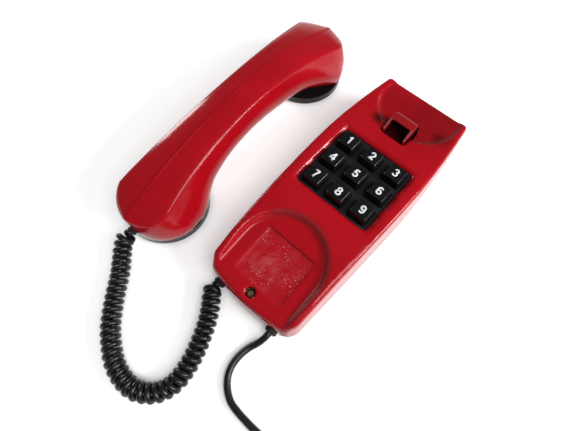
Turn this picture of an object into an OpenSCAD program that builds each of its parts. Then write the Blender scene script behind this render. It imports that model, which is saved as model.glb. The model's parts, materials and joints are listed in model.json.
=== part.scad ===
// Compact push-button desk and wall telephone.
// Slim arched base with a sunken pocket at each end, nine sprung keys, a hinged
// hook lever, and a handset lying face down beside it on a coiled cord.
// Frame: X across the base, Y along it (ear end at +Y), Z up, tabletop at Z = 0.

/* [Show] */
// Sub-part to draw

/* [Base] */
// Greatest width of the base at its foot
base_w = 81; // [77:0.5:87]
// Length of the base
base_l = 196.4; // [193:0.2:212]
// Height of the deck at the keypad
base_h = 38; // [36:0.5:44]
// Drop of the deck from the keypad to the near end
near_drop = 16; // [13:0.5:17]
// Drop of the deck from the keypad to the far end
far_drop = 4.5; // [3:0.5:6]
// Wall thickness of the mouldings
wall = 2.4; // [2:0.1:2.8]
// Narrowing of each side from the foot to the deck
draft = 1.4; // [1:0.1:2]
// Narrowing of each side towards the far end
far_taper = 4.9; // [3.5:0.1:5.5]
// Narrowing of each side towards the near end
near_taper = 4.3; // [3.5:0.1:5.5]

/* [Pockets] */
// Radius of the mouth pocket at its floor
mouth_r = 28.9; // [28:0.1:30]
// Slope of the mouth pocket floor in degrees
mouth_slope = 10.2; // [9:0.1:11]
// Radius of the ear pocket at its floor
ear_r = 29.6; // [28:0.1:30]
// Label seat in the mouth pocket, width
label_w = 38; // [30:0.5:40]
// Label seat in the mouth pocket, length
label_l = 34; // [26:0.5:36]

/* [Keypad] */
// Pitch of the keys across the base
key_px = 19.05; // [18.6:0.05:19.5]
// Pitch of the keys along the base
key_py = 17.7; // [17.4:0.1:18.2]
// Width of a key at its foot
key_w = 13.6; // [12:0.1:14]
// Length of a key at its foot
key_l = 13.2; // [12:0.1:13.6]
// Height of the keys above their frame
key_rise = 6; // [5:0.5:7]
// Travel of a key
key_travel = 2; // [1.5:0.1:2.4]

/* [Hook lever] */
// Width of the lever
lever_w = 18; // [14:0.5:20]
// Stroke of the lever in degrees
lever_turn = 20; // [16:1:22]
// Diameter of the lever pin
lever_pin_d = 3; // [2.5:0.1:3.4]

/* [Handset] */
// Distance between the ear cap and mouth cap centres
cap_span = 160; // [152:1:170]
// Radius of the caps
cap_r = 30.2; // [28:0.1:30.6]
// Height of a cap below the shell seam
cap_h = 7; // [6:0.5:9]
// Height of the back ridge at the middle
grip_top = 51; // [48:0.5:56]
// Half width of the grip at its top edge
grip_w = 15.4; // [13:0.2:17]
// Drop of the back from the middle to the cap centres
back_drop = 10.5; // [8:0.5:12]

/* [Cords] */
// Outside diameter of the coiled handset cord
curly_d = 13; // [11:0.5:14]
// Diameter of the line cord
line_d = 4.5; // [4:0.1:5]

/* [Hidden] */
$fn = 32;

red = "#b3121f";
black = "#151517";
steel = "#b9bcc0";
brass = "#a78a52";
green = "#2f6b43";

eps = 0.01;
gap = 0.3;          // clearance between pieces that move past each other
fit = 0.05;         // radial clearance of a pin or a screw in its hole

// heights
foot_z = 1.2;                     // lower face of the cover and base plate
plate_t = wall;
plate_top = foot_z + plate_t;
near_y = -base_l / 2;
far_y = base_l / 2;

// keypad
pad_y = 10;
frame_top = base_h + 2.5 - key_rise;
frame_t = 2;
frame_bot = frame_top - frame_t;
key_gap = 0.35;
open_w = 2 * key_px + key_w + 2.4;      // opening of the cover at the frame
open_l = 2 * key_py + key_l + 2.8;
open_flare = 3.1;                       // how far each side leans out to the deck
collar = 3.4;                           // wall round the opening
frame_w = open_w + 2 * collar;
frame_l = open_l + 2 * collar;
stake_r = 1;
key_flange = 1;
key_bot = frame_bot - gap - key_flange;

// board under the keys
mat_t = 1;
board_t = 1.6;
dome_h = key_travel + 1.8;
mat_bot = key_bot - dome_h - mat_t;
board_top = mat_bot;
board_bot = board_top - board_t;
board_w = 62;
board_near = -34;
board_far = 40;
chip_w = 6.4;
chip_l = 23;
chip_h = 3.6;
trafo_w = 20;
trafo_l = 17;
trafo_h = 14;
can_r = 5;                        // large capacitor; the small ones are 0.8 of it
can_h = 14;
ballast_w = 46;
ballast_l = 60;
ballast_t = 4;
ballast_y = -14;
ballast_pin_x = 20;
post_x = 28;
post_y = [-30, 36.6];

// outline of the base: half widths at the foot, from the side's taper
wide_y = 24;
function half(y) = base_w / 2 - (y > wide_y
    ? far_taper * pow((y - wide_y) / (far_y - wide_y), 1.7)
    : near_taper * pow((wide_y - y) / (wide_y - near_y), 1.25));
// deck height along the base
function deck(y) = base_h - (y < pad_y
    ? near_drop * pow((pad_y - y) / (pad_y - near_y), 3)
    : far_drop * pow((y - pad_y) / (far_y - pad_y), 2));
edge_r = 2.4;
nose_r = 7;
nose_bow = 2.4;
corner_r = 10;
side_y = [for (i = [0 : 11]) near_y + 12 + i * (base_l - 12 - edge_r) / 11];

// pockets
mouth_y = near_y + 33.2;
mouth_z = base_h - 9.6;
mouth_flare = 3.0;
mouth_deep = 5;
label_t = 0.8;
ear_y = far_y - 11;
ear_z = base_h - 5.8;
ear_slope = 2;
ear_flare = 3.8;
ear_deep = 8;

// terminal block
term_y = near_y + 21.5;
term_w = 30;
term_l = 11;
term_h = 8;
term_pitch = 7;

// screws
screw_r = 1.5;
head_r = 2.8;
head_h = 2;
cover_screw_y = near_y + 8;
cover_seat_z = 17.4;
pillar_top = 14.8;
base_screw_x = 27;
base_screw_y = 61;
base_seat_z = 3.6;
base_pad_top = 6.2;
foot_r = 5;
foot_x = 26;
foot_ys = [near_y + 19, far_y - 15];
foot_sink = 1;

// wall-mounting keyholes
keyhole_y = [-60, 40];
keyhole_head_r = 4.2;
keyhole_slot_r = 2.2;
keyhole_run = 6;

// hook lever, in its side view (Y, Z)
pin_y = 43;
pin_z = base_h - 9;
pin_r = lever_pin_d / 2;
barrel_r = pin_r + 1.6;
lever_t = 1.5;
lever_top = base_h + 5;
lever_front = 51.6;
lever_far = 68.4;
slot_near = lever_front - 0.6;
slot_far = lever_far + 3.4;
lug_t = 3;
lug_x = lever_w / 2 + 0.4;
spring_y = 54;
spring_x = -4.5;
lever_arm_z = pin_z - 1;
spring_pressed = 11.24;           // height of the hook spring with the lever down
spring_seat = lever_arm_z - 1 - spring_pressed - (spring_y - pin_y) * sin(lever_turn);
switch_w = 6;
switch_l = 12.4;
switch_h = 6.4;
switch_far = spring_y + switch_l;

// buzzer in the room past the hook switch
ringer_near = switch_far + 2.3;
ringer_r = (far_y - 6.5 - ringer_near) / 2;
ringer_y = ringer_near + ringer_r;
ringer_h = 8;
ringer_slot = 0.26 * ringer_r;    // pitch of the sound slots under it

// handset placing
hs_x = -97.9;
hs_y = 0.9;
hs_turn = 2.65;
ear_s = cap_span / 2 - 2.5;
mouth_s = -cap_span / 2 - 2.5;
end_r = cap_r + 0.8;
under_z = 23;
ear_seam = ear_s + 6.5;                 // where the shell comes down to the ear cap
ear_bore = 17;                          // opening of the shell above the ear cap
crown = 2.9;
shoulder = 1.5;                   // rounding between the back and the sides
grommet_z = 10.6;
grommet_out = 2.6;                // how far the grommet stands out of the end

// cord openings in the near wall
cord_x = half(near_y) - 13.1;
cord_z = 6.6;
grommet_r = 4;

// point on the handset's axis
function in_line(s, z) = [hs_x - s * sin(hs_turn), hs_y + s * cos(hs_turn), z];

// routes of the cords, on the tabletop
curly_z = curly_d / 2 + 0.1;
cord_end = mouth_s - cap_r - grommet_out - fit;
curly_route = [in_line(cord_end, grommet_z), in_line(cord_end - 3, grommet_z),
    [-92.5, -119.6, 9.4], [-89.2, -125, 8], [-84, -130.7, curly_z],
    [-76.2, -138.5, curly_z], [-68.7, -147.9, curly_z], [-61, -156.6, curly_z],
    [-53.4, -164.1, curly_z], [-44, -170.6, curly_z], [-34.7, -175.5, curly_z],
    [-24.5, -177.7, curly_z], [-14.9, -177.1, curly_z], [-7.2, -173.1, curly_z],
    [-1.5, -166.6, curly_z], [1, -157.9, curly_z], [0.2, -148.8, curly_z],
    [-2.3, -139.3, curly_z], [-6.1, -129.8, curly_z], [-10.7, -120.6, curly_z],
    [-16.3, -112.2, curly_z], [-cord_x + 0.5, near_y - 6.5, curly_z],
    [-cord_x, near_y - 3, curly_z], [-cord_x, near_y - 0.7, curly_z]];
line_z = line_d / 2 + 0.1;
line_route = [[cord_x, near_y + 5, cord_z], [cord_x, near_y - 1.5, cord_z],
    [cord_x - 0.2, near_y - 5, 5.6], [21.6, -108.4, 3.7], [19.6, -113.4, line_z],
    [18.3, -120.6, line_z], [18.9, -128.1, line_z], [21.5, -134.4, line_z],
    [26.4, -139.7, line_z], [32.8, -143.3, line_z], [40, -144.4, line_z],
    [47.7, -144.6, line_z], [56, -144.4, line_z], [64.2, -143.2, line_z],
    [72, -140.6, line_z], [78.6, -137, line_z]];
coil_x = 96;
coil_y = -164.5;
coil_r = 27;
coil_cols = 3;
coil_rows = 4;
coil_inner = coil_r - 1.5 * line_d;
coil_outer = coil_r + 1.5 * line_d;
coil_h = coil_rows * line_d;

/* ---- shared shapes ---- */

module rounded(w, l, r) {
    offset(r = r) square([w - 2 * r, l - 2 * r], center = true);
}

module slab(w, l, r, h) {
    linear_extrude(h) rounded(w, l, r);
}

// plan of the base at height of the foot, drawn in by inset
module base_plan(inset) {
    offset(delta = -inset) offset(r = corner_r) offset(delta = -corner_r)
        intersection() {
            polygon([for (i = [0 : 12]) let (y = near_y + i * base_l / 12) [half(y), y],
                for (i = [12 : -1 : 0]) let (y = near_y + i * base_l / 12) [-half(y), y]]);
            translate([0, near_y + 130]) circle(r = 130, $fn = 120);
        }
}

// arched body of the base, drawn in by inset
module boat(inset) {
    r = max(edge_r - inset, 0.6);
    n = max(nose_r - inset, 1.2);
    hull() {
        translate([0, 0, inset > 0 ? -1 : foot_z]) linear_extrude(0.5) base_plan(inset);
        for (y = side_y, s = [-1, 1])
            translate([s * (half(y) - draft - inset - r),
                min(y, far_y - inset - r), deck(y) - inset - r]) sphere(r = r, $fn = 20);
        for (x = [0, 0.37, 0.73], s = [-1, 1])
            translate([s * x * (half(near_y) - inset), near_y + inset + n
                + nose_bow * pow(x / 0.73, 2), deck(near_y + nose_r) - inset - n])
                sphere(r = n, $fn = 28);
    }
}

// mouth pocket, grown by g, in the sloping frame of its floor
module mouth_pocket(g) {
    translate([0, mouth_y, mouth_z]) rotate([mouth_slope, 0, 0]) hull() {
        translate([0, 0, -g]) linear_extrude(0.1) pocket_plan(mouth_r + g);
        translate([0, 0, mouth_deep * 2]) linear_extrude(0.1)
            pocket_plan(mouth_r + 2 * mouth_flare + g);
    }
}

module pocket_plan(r) {
    circle(r = r, $fn = 72);
    translate([-r, -60]) square([2 * r, 60]);
}

// ear pocket, grown by g
module ear_pocket(g) {
    translate([0, ear_y, ear_z]) rotate([-ear_slope, 0, 0]) translate([0, 0, -g])
        cylinder(r1 = ear_r + g, r2 = ear_r + g + ear_flare * (ear_deep + g) / ear_deep,
            h = ear_deep + g, $fn = 72);
}

// screw along Z with its head seat at z = 0, head above, shank below
module screw(len) {
    translate([0, 0, -len]) cylinder(r = screw_r, h = len + eps);
    difference() {
        union() {
            cylinder(r = head_r, h = head_h * 0.6);
            translate([0, 0, head_h * 0.6 - eps])
                cylinder(r1 = head_r, r2 = head_r * 0.7, h = head_h * 0.4);
        }
        translate([-head_r, -0.4, head_h - 0.8]) cube([2 * head_r, 0.8, 1]);
    }
}

/* ---- swept tubes ---- */

function unit(v) = v / norm(v);
// Catmull-Rom point between p[i] and p[i + 1]
function cr(p, i, t) = let (a = p[max(i - 1, 0)], b = p[i], c = p[i + 1],
    d = p[min(i + 2, len(p) - 1)]) 0.5 * (2 * b + (c - a) * t
    + (2 * a - 5 * b + 4 * c - d) * t * t + (3 * b - a - 3 * c + d) * t * t * t);
function smooth(p, n) = [for (i = [0 : len(p) - 2], k = [0 : n - 1]) cr(p, i, k / n),
    p[len(p) - 1]];
function heading(p, i) = unit(p[min(i + 1, len(p) - 1)] - p[max(i - 1, 0)]);
function ring_at(c, t, r, n) = let (s = unit(cross(t, [0, 0, 1])), u = cross(s, t))
    [for (k = [0 : n - 1]) c + r * (cos(360 * k / n) * s + sin(360 * k / n) * u)];

// solid through rings of n points each
module loft(rings, n) {
    m = len(rings);
    polyhedron(points = [for (g = rings, p = g) p], faces = [
        [for (k = [0 : n - 1]) k],
        for (i = [0 : m - 2], k = [0 : n - 1]) let (a = i * n, j = (k + 1) % n)
            [a + k, a + n + k, a + n + j, a + j],
        [for (k = [n - 1 : -1 : 0]) (m - 1) * n + k]], convexity = 8);
}

module tube(route, r, n, steps) {
    p = smooth(route, steps);
    loft([for (i = [0 : len(p) - 1]) ring_at(p[i], heading(p, i), r, n)], n);
}

/* ---- base ---- */

module top_cover() {
    color(red) difference() {
        union() {
            difference() {
                boat(0);
                boat(wall);
            }
            intersection() {
                boat(0);
                union() {
                    mouth_pocket(wall);
                    ear_pocket(wall);
                    translate([0, pad_y, frame_top])
                        slab(frame_w, frame_l, 3, base_h - frame_top);
                    // seat of the near screw
                    translate([0, cover_screw_y, pillar_top + fit])
                        cylinder(r = head_r + 1.8, h = mouth_z - pillar_top - 2);
                    // bosses of the screws from below
                    for (s = [-1, 1]) translate([s * base_screw_x, base_screw_y,
                        base_pad_top + fit]) cylinder(r = 3.4, h = base_h);
                    // lugs that hold the lever pin
                    for (s = [-1, 1]) translate([s * (lug_x + lug_t / 2), pin_y, pin_z])
                        pin_lug();
                }
            }
            // stakes that hold the keypad frame
            for (sx = [-1, 1], sy = [-1, 1]) translate([sx * (frame_w / 2 - 2),
                pad_y + sy * (frame_l / 2 - 2), frame_bot - 1])
                cylinder(r = stake_r, h = frame_t + 1 + 0.5);
        }
        mouth_pocket(0);
        ear_pocket(0);
        // label seat
        translate([0, mouth_y, mouth_z]) rotate([mouth_slope, 0, 0])
            translate([0, -3.6, -label_t]) slab(label_w, label_l, 0.8, 3);
        // opening for the keys, leaning outwards
        translate([0, pad_y, frame_top - eps]) hull() {
            slab(open_w, open_l, 2, 0.1);
            translate([0, 0, base_h - frame_top])
                slab(open_w + 2 * open_flare, open_l + 2 * open_flare, 4, 2);
        }
        // slot for the hook lever
        translate([-lever_w / 2 - 0.5, slot_near, base_h - 20])
            cube([lever_w + 1, slot_far - slot_near, 30]);
        // near screw
        translate([0, cover_screw_y, 0]) {
            cylinder(r = screw_r + 0.1, h = 40);
            translate([0, 0, cover_seat_z]) cylinder(r = head_r + 0.2, h = 20);
        }
        // screws from below
        for (s = [-1, 1]) translate([s * base_screw_x, base_screw_y, 0])
            cylinder(r = screw_r + fit, h = base_pad_top + 12);
        // lever pin
        translate([-30, pin_y, pin_z]) rotate([0, 90, 0]) cylinder(r = pin_r + fit, h = 60);
        // cord openings in the near wall
        for (s = [-1, 1]) translate([s * cord_x, near_y - 4, 0]) cord_notch(grommet_r + 0.1);
    }
}

module pin_lug() {
    rotate([0, 90, 0]) translate([0, 0, -lug_t / 2]) {
        cylinder(r = pin_r + 2, h = lug_t);
        translate([-base_h, -pin_r - 2, 0]) cube([base_h, 2 * pin_r + 4, lug_t]);
    }
}

// opening for a grommet, open downwards
module cord_notch(r) {
    translate([0, 0, cord_z]) rotate([-90, 0, 0]) cylinder(r = r, h = 14);
    translate([-r, 0, -1]) cube([2 * r, 14, cord_z + 1]);
}

module base_plate() {
    color(black) difference() {
        union() {
            translate([0, 0, foot_z]) linear_extrude(plate_t) base_plan(wall + gap);
            // locating rib inside the cover
            translate([0, 0, plate_top - eps]) linear_extrude(2.4) difference() {
                base_plan(wall + gap + 2);
                base_plan(wall + gap + 3.6);
            }
            translate([0, cover_screw_y, foot_z]) cylinder(r = 4.3, h = pillar_top - foot_z);
            for (s = [-1, 1], y = post_y) translate([s * post_x, y, foot_z])
                cylinder(r = 3.2, h = board_bot - foot_z);
            for (s = [-1, 1]) translate([s * base_screw_x, base_screw_y, foot_z])
                cylinder(r = head_r + 2, h = base_pad_top - foot_z);
            // seat of the hook spring and the hook switch
            translate([spring_x, spring_y, foot_z]) cylinder(r = 3.4, h = spring_seat - foot_z);
            translate([1, spring_y - 1.5, foot_z])
                cube([switch_w + 2, switch_l + 1.6, spring_seat - foot_z]);
            // pins through the ballast plate
            for (s = [-1, 1]) translate([s * ballast_pin_x, ballast_y, foot_z])
                cylinder(r = 2, h = plate_t + ballast_t + 1.2);
        }
        translate([0, cover_screw_y, foot_z + 3]) cylinder(r = screw_r + fit, h = 20);
        for (s = [-1, 1], y = post_y) translate([s * post_x, y, foot_z + 8])
            cylinder(r = screw_r + fit, h = 30);
        for (s = [-1, 1]) translate([s * base_screw_x, base_screw_y, 0]) {
            cylinder(r = screw_r + 0.2, h = 20);
            cylinder(r = head_r + 0.3, h = base_seat_z);
        }
        // seats of the rubber feet
        for (s = [-1, 1], y = foot_ys) translate([s * foot_x, y, foot_z - eps])
            cylinder(r = foot_r + 0.1, h = foot_sink);
        // wall-mounting keyholes
        for (y = keyhole_y) translate([0, y, 0]) {
            translate([0, -keyhole_run, 0]) cylinder(r = keyhole_head_r, h = 10);
            cylinder(r = keyhole_slot_r, h = 10);
            translate([-keyhole_slot_r, -keyhole_run, 0])
                cube([2 * keyhole_slot_r, keyhole_run, 10]);
        }
        // sound slots under the ringer
        for (i = [-2 : 2]) translate([-0.6 * ringer_r, ringer_y + i * ringer_slot - 0.7, 0])
            cube([1.2 * ringer_r, 1.4, 10]);
        // room for the grommets
        for (s = [-1, 1]) translate([s * cord_x, near_y - 4, 0]) cord_notch(grommet_r + 1.4);
    }
}

module rubber_feet() {
    color(black) for (s = [-1, 1], y = foot_ys) translate([s * foot_x, y, 0]) {
        cylinder(r1 = foot_r - 0.5, r2 = foot_r, h = 0.6);
        translate([0, 0, 0.6 - eps]) cylinder(r = foot_r, h = foot_z + foot_sink - 0.6 - fit);
    }
}

module keypad_frame() {
    color(black) difference() {
        translate([0, pad_y, frame_bot]) slab(frame_w - 0.4, frame_l - 0.4, 2.8, frame_t - eps);
        for (c = [-1 : 1], r = [-1 : 1]) translate([c * key_px, pad_y + r * key_py,
            frame_bot - 1]) slab(key_w + 2 * key_gap, key_l + 2 * key_gap, 1.2, frame_t + 2);
        for (sx = [-1, 1], sy = [-1, 1]) translate([sx * (frame_w / 2 - 2),
            pad_y + sy * (frame_l / 2 - 2), frame_bot - 1])
            cylinder(r = stake_r + fit, h = frame_t + 2);
    }
}

// key n, counted 1 to 9 from the far left
module key(n) {
    top = frame_top + key_rise;
    color(black) translate([(((n - 1) % 3) - 1) * key_px,
        pad_y + (1 - floor((n - 1) / 3)) * key_py, 0]) {
        hull() {
            translate([0, 0, key_bot + key_flange - eps]) slab(key_w, key_l, 1, frame_t);
            translate([0, 0, top - 1.2]) slab(key_w - 1.5, key_l - 1.5, 1, 0.1);
            translate([0, 0, top - 0.35]) slab(key_w - 2, key_l - 2, 1, 0.1);
            translate([0, 0, top - 0.1]) slab(key_w - 2.6, key_l - 2.6, 0.8, 0.1);
        }
        translate([0, 0, key_bot]) slab(key_px - 2, key_py - 2, 1, key_flange);
    }
}

module dome_mat() {
    color("#8f9294") {
        translate([0, pad_y, mat_bot]) slab(2 * key_px + 12.6, 2 * key_py + 13, 2, mat_t);
        for (c = [-1 : 1], r = [-1 : 1]) translate([c * key_px, pad_y + r * key_py,
            mat_bot + mat_t - eps]) {
            cylinder(r1 = 5, r2 = 3.6, h = dome_h - 1.2);
            cylinder(r = 2.4, h = dome_h - fit);
        }
    }
}

module main_board() {
    color(green) difference() {
        translate([-board_w / 2, board_near, board_bot + fit])
            cube([board_w, board_far - board_near, board_t - 2 * fit]);
        for (s = [-1, 1], y = post_y) translate([s * post_x, y, 0])
            cylinder(r = screw_r + 0.1, h = 40);
    }
}

module board_screws() {
    color(steel) for (s = [-1, 1], y = post_y) translate([s * post_x, y, board_top])
        screw(9);
}

// chip with two rows of legs, hanging under the board
module tone_chip() {
    color(black) translate([14, 24, board_bot]) {
        translate([-chip_w / 2, -chip_l / 2, -chip_h - 0.6]) cube([chip_w, chip_l, chip_h]);
        for (s = [-1, 1], i = [-4 : 4]) translate([s * (chip_w / 2 + 0.6), i * 2.54, -3]) {
            translate([-0.3, -0.3, 0]) cube([0.6, 0.6, 3]);
            translate([-0.3 - s * 0.3 - 0.3, -0.3, 0]) cube([1.2, 0.6, 0.4]);
        }
    }
}

module line_transformer() {
    color("#3a3d42") translate([-14, -22, board_bot]) {
        translate([-trafo_w / 2, -trafo_l / 2, -trafo_h]) cube([trafo_w, trafo_l, trafo_h]);
        color("#caa15a") translate([-0.3 * trafo_w, -trafo_l / 2 - 2, -trafo_h + 1.5])
            cube([0.6 * trafo_w, trafo_l + 4, trafo_h - 3]);
    }
}

module capacitors() {
    color("#26303f") {
        translate([12, -22, board_bot - can_h]) cylinder(r = can_r, h = can_h);
        for (p = [[22, -16], [-20, 4]]) translate([p[0], p[1], board_bot - 0.8 * can_h])
            cylinder(r = 0.8 * can_r, h = 0.8 * can_h);
    }
}

module ballast_plate() {
    color(steel) difference() {
        translate([0, ballast_y, plate_top + fit]) slab(ballast_w, ballast_l, 3, ballast_t);
        for (s = [-1, 1]) translate([s * ballast_pin_x, ballast_y, 0])
            cylinder(r = 2 + fit, h = 20);
    }
}

module ringer() {
    color(black) translate([0, ringer_y, plate_top + fit]) difference() {
        union() {
            cylinder(r = ringer_r, h = 0.75 * ringer_h, $fn = 48);
            cylinder(r = ringer_r - 2, h = ringer_h, $fn = 48);
        }
        translate([0, 0, -1]) cylinder(r = ringer_r - 3.5, h = 3);
    }
}

module terminal_block() {
    color("#d8d2c0") translate([0, term_y, plate_top + fit]) difference() {
        translate([-term_w / 2, -term_l / 2, 0]) cube([term_w, term_l, term_h]);
        for (i = [-1.5 : 1.5]) translate([i * term_pitch, 0, term_h - 5])
            cylinder(r = 1.2 + fit, h = 6);
    }
}

module terminal_screws() {
    color(brass) for (i = [-1.5 : 1.5])
        translate([i * term_pitch, term_y, plate_top + fit + term_h]) difference() {
            union() {
                translate([0, 0, -4]) cylinder(r = 1.2, h = 4 + eps);
                cylinder(r = 2.4, h = 1.4);
            }
            translate([-3, -0.3, 0.8]) cube([6, 0.6, 1]);
        }
}

/* ---- hook switch ---- */

// Side view of the lever: cheek plate from the barrel to the hood
module cheek_plan() {
    difference() {
        union() {
            translate([pin_y, pin_z]) circle(r = barrel_r);
            polygon([[pin_y, lever_arm_z - 1], [lever_far - 2, lever_arm_z - 1],
                [lever_far, lever_arm_z + 1], [lever_far, lever_top - 3],
                [lever_far - 1, lever_top - 0.8], [lever_far - 3, lever_top],
                [lever_front + 8, lever_top], [lever_front + 7, lever_top - 0.6],
                [lever_front, base_h + 0.4], [lever_front - 0.2, base_h - 4],
                [pin_y + 2, pin_z + barrel_r * 0.8]]);
        }
        translate([pin_y, pin_z]) circle(r = pin_r + fit);
    }
}

module hook_lever() {
    hood_l = lever_far - pin_y + 2 * barrel_r;
    color(red) intersection() {
        union() {
            // two cheeks
            for (s = [-1, 1]) translate([s * (lever_w / 2 - lever_t / 2), 0, 0])
                side_plate(lever_t) cheek_plan();
            // barrel, hood, back wall and arm
            side_plate(lever_w - 1) difference() {
                union() {
                    translate([pin_y, pin_z]) circle(r = barrel_r);
                    intersection() {
                        cheek_plan();
                        union() {
                            translate([lever_front + 8, lever_top - lever_t]) square([30, 10]);
                            translate([lever_far - lever_t, 0]) square([10, 80]);
                            translate([pin_y, 0]) square([40, lever_arm_z + 0.8]);
                        }
                    }
                }
                translate([pin_y, pin_z]) circle(r = pin_r + fit);
            }
        }
        translate([0, lever_far - hood_l / 2, 0]) slab(lever_w, hood_l, 2.4, lever_top + 1);
    }
}

// Extrudes a (Y, Z) drawing along X, centred
module side_plate(t) {
    translate([-t / 2, 0, 0]) rotate([90, 0, 90]) linear_extrude(t) children();
}

module hook_pin() {
    color(steel) translate([-lug_x - lug_t, pin_y, pin_z]) rotate([0, 90, 0])
        cylinder(r = pin_r, h = 2 * (lug_x + lug_t));
}

module hook_spring() {
    rise = lever_arm_z - 1 - spring_seat - 2 * fit - 1;
    color(steel) translate([spring_x, spring_y, spring_seat + fit + 0.5])
        tube([for (i = [0 : 78]) [2.2 * cos(30 * i), 2.2 * sin(30 * i), rise * i / 78]],
            0.5, 6, 1);
}

module hook_switch() {
    color(black) translate([2, spring_y - 0.7, spring_seat + fit]) difference() {
        union() {
            cube([switch_w, switch_l, switch_h]);
            translate([switch_w / 2, 4.4, switch_h - eps]) cylinder(r = 1.1, h = 2.4);
            translate([switch_w / 2 - 0.4, 0.4, switch_h - 0.2]) cube([0.8, 11, 0.5]);
        }
        for (y = [2.6, 9.8]) translate([-1, y, 2]) rotate([0, 90, 0]) cylinder(r = 0.9, h = 10);
    }
}

/* ---- screws and grommets ---- */

module cover_screw() {
    color(brass) translate([0, cover_screw_y, cover_seat_z]) screw(9);
}

module base_screws() {
    color(steel) for (s = [-1, 1]) translate([s * base_screw_x, base_screw_y, base_seat_z])
        rotate([180, 0, 0]) screw(10);
}

// Rubber grommet in the near wall, with flanges on both faces
module wall_grommet(x, bore) {
    color(black) translate([x, near_y, cord_z]) rotate([-90, 0, 0]) difference() {
        union() {
            translate([0, 0, -0.6]) cylinder(r1 = grommet_r - 0.4, r2 = grommet_r + 0.6, h = 1.7);
            translate([0, 0, 1]) cylinder(r = grommet_r, h = 6);
            translate([0, 0, 6.6]) cylinder(r = grommet_r + 1, h = 1.2);
        }
        translate([0, 0, -2]) cylinder(r = bore, h = 12);
    }
}

module line_grommet() { wall_grommet(cord_x, line_d / 2 + fit); }
module coil_cord_grommet() { wall_grommet(-cord_x, 1.9); }

/* ---- handset, drawn along S with its middle at the origin ---- */

module in_hand() {
    translate([hs_x, hs_y, 0]) rotate([0, 0, hs_turn]) children();
}

// chord of a circle of radius r round a cap centre, at s
function chord(s, c, r) = sqrt(max(r * r - (s - c) * (s - c), 0));
function cap_at(s) = s > 0 ? ear_s : mouth_s;
// half widths at the top edge, at the belly and at the bottom
function top_w(s) = min(grip_w + 7.4 * pow(s / 100, 2), top_end(s));
function belly_w(s) = min(grip_w + 4.5 + 12.5 * pow(s / cap_at(s), 2), beyond(s, end_r + 1));
function foot_w(s) = max(min(13, beyond(s, cap_r)),
    s < 0 ? chord(s, cap_at(s), cap_r) : min(chord(s, ear_s, cap_r), neck_w(s)));
// the shell narrows above the ear cap, towards the grip
function neck_w(s) = s > ear_seam ? 99
    : 13 + (cap_r - 13) * pow(max(1 - (ear_seam - s) / (cap_r + 4), 0), 1.2);
// limit that rounds each end of the back
function top_end(s) = let (far = s > 0,
    u = (abs(s) - abs(cap_at(s))) / (cap_r + (far ? 1 : 0.3)))
    u <= 0 ? 99 : (cap_r - 5.7) * sqrt(max(1 - pow(u, far ? 3 : 2.4), 0.02));
// limit that rounds each end off past its cap centre
function beyond(s, r) = abs(s) < abs(cap_at(s)) ? 99 : max(chord(s, cap_at(s), r), 1);
function back_z(s) = grip_top - back_drop * pow(s / 80, 2) - 1.5 * pow(s / 100, 4);
function edge_z(s) = back_z(s) - crown;
function arch(s) = let (a = s > 0 ? ear_seam : abs(mouth_s) - cap_r + 2)
    under_z - (under_z - cap_h) * pow(min(abs(s) / a, 1), s > 0 ? 1.3 : 3);
function bez(a, b, c, t) = (1 - t) * (1 - t) * a + 2 * t * (1 - t) * b + t * t * c;

// half outline of the section at s, from the ridge round to the underside, inset by g
function half_section(s, g) = let (w = max(top_w(s) - g, 0.6), ze = edge_z(s) - g,
    zb = arch(s) + (arch(s) > cap_h ? g : 0), wf = max(foot_w(s) - g, 0.6),
    bw = max(belly_w(s) * 1.1 - g, 0.6), zm = ze - 0.62 * (ze - zb), q = min(shoulder, 0.35 * w))
    [[0, back_z(s) - g], [w * 0.35, back_z(s) - g - crown * 0.16],
     [w * 0.7, back_z(s) - g - crown * 0.52], [w - q, ze + crown * 0.185],
     [w - 0.5 * q, ze + crown * 0.03], [w - 0.15 * q, ze - 0.3 * q],
     for (t = [0.01 : 0.1414 : 1.001]) bez([w, ze - 0.65 * q], [bw, zm], [wf, zb], t),
     [wf * 0.6, zb], [0, zb]];
function section(s, g) = let (h = half_section(s, g), n = len(h))
    [for (p = h) [p[0], s, p[1]], for (i = [n - 2 : -1 : 1]) [-h[i][0], s, h[i][1]]];
// stations, closer together round the ends
function stations(g) = let (e = ear_s + cap_r + 0.8 - g, m = mouth_s - cap_r + g)
    [for (a = [0 : 9 : 81]) mouth_s - (mouth_s - m) * cos(a),
     for (i = [1 : 19]) mouth_s + i * (ear_s - mouth_s) / 20,
     for (a = [81 : -9 : 0]) ear_s + (e - ear_s) * cos(a)];

module handset_body(g) {
    rings = [for (s = stations(g)) section(s, g)];
    loft(rings, len(rings[0]));
}

// narrow raised line along the back
module back_ridge() {
    st = [for (i = [0 : 40]) mouth_s - end_r + 1.5 + i * (cap_span + 2 * end_r - 3) / 40];
    loft([for (s = st) let (z = back_z(s)) [[0.6, s, z + 0.55], [0.6, s, z - 2],
        [-0.6, s, z - 2], [-0.6, s, z + 0.55]]], 4);
}

module handset_shell() {
    color(red) in_hand() difference() {
        union() {
            handset_body(0);
            back_ridge();
        }
        difference() {
            handset_body(wall);
            // webs that seat the capsules
            for (c = [ear_s, mouth_s], a = [0, 90]) translate([0, c, 24]) rotate([0, 0, a])
                translate([-0.8, -30, 0]) cube([1.6, 60, 40]);
        }
        translate([0, mouth_s, cap_h - 1]) cylinder(r = cap_r - 2.6, h = 9, $fn = 64);
        translate([0, ear_s, cap_h - 1]) cylinder(r = ear_bore, h = 9, $fn = 64);
        // grommet hole in the near end
        translate([0, mouth_s - cap_r - 4, grommet_z]) rotate([-90, 0, 0])
            cylinder(r = 3.2 + fit, h = 12);
    }
}

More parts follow.
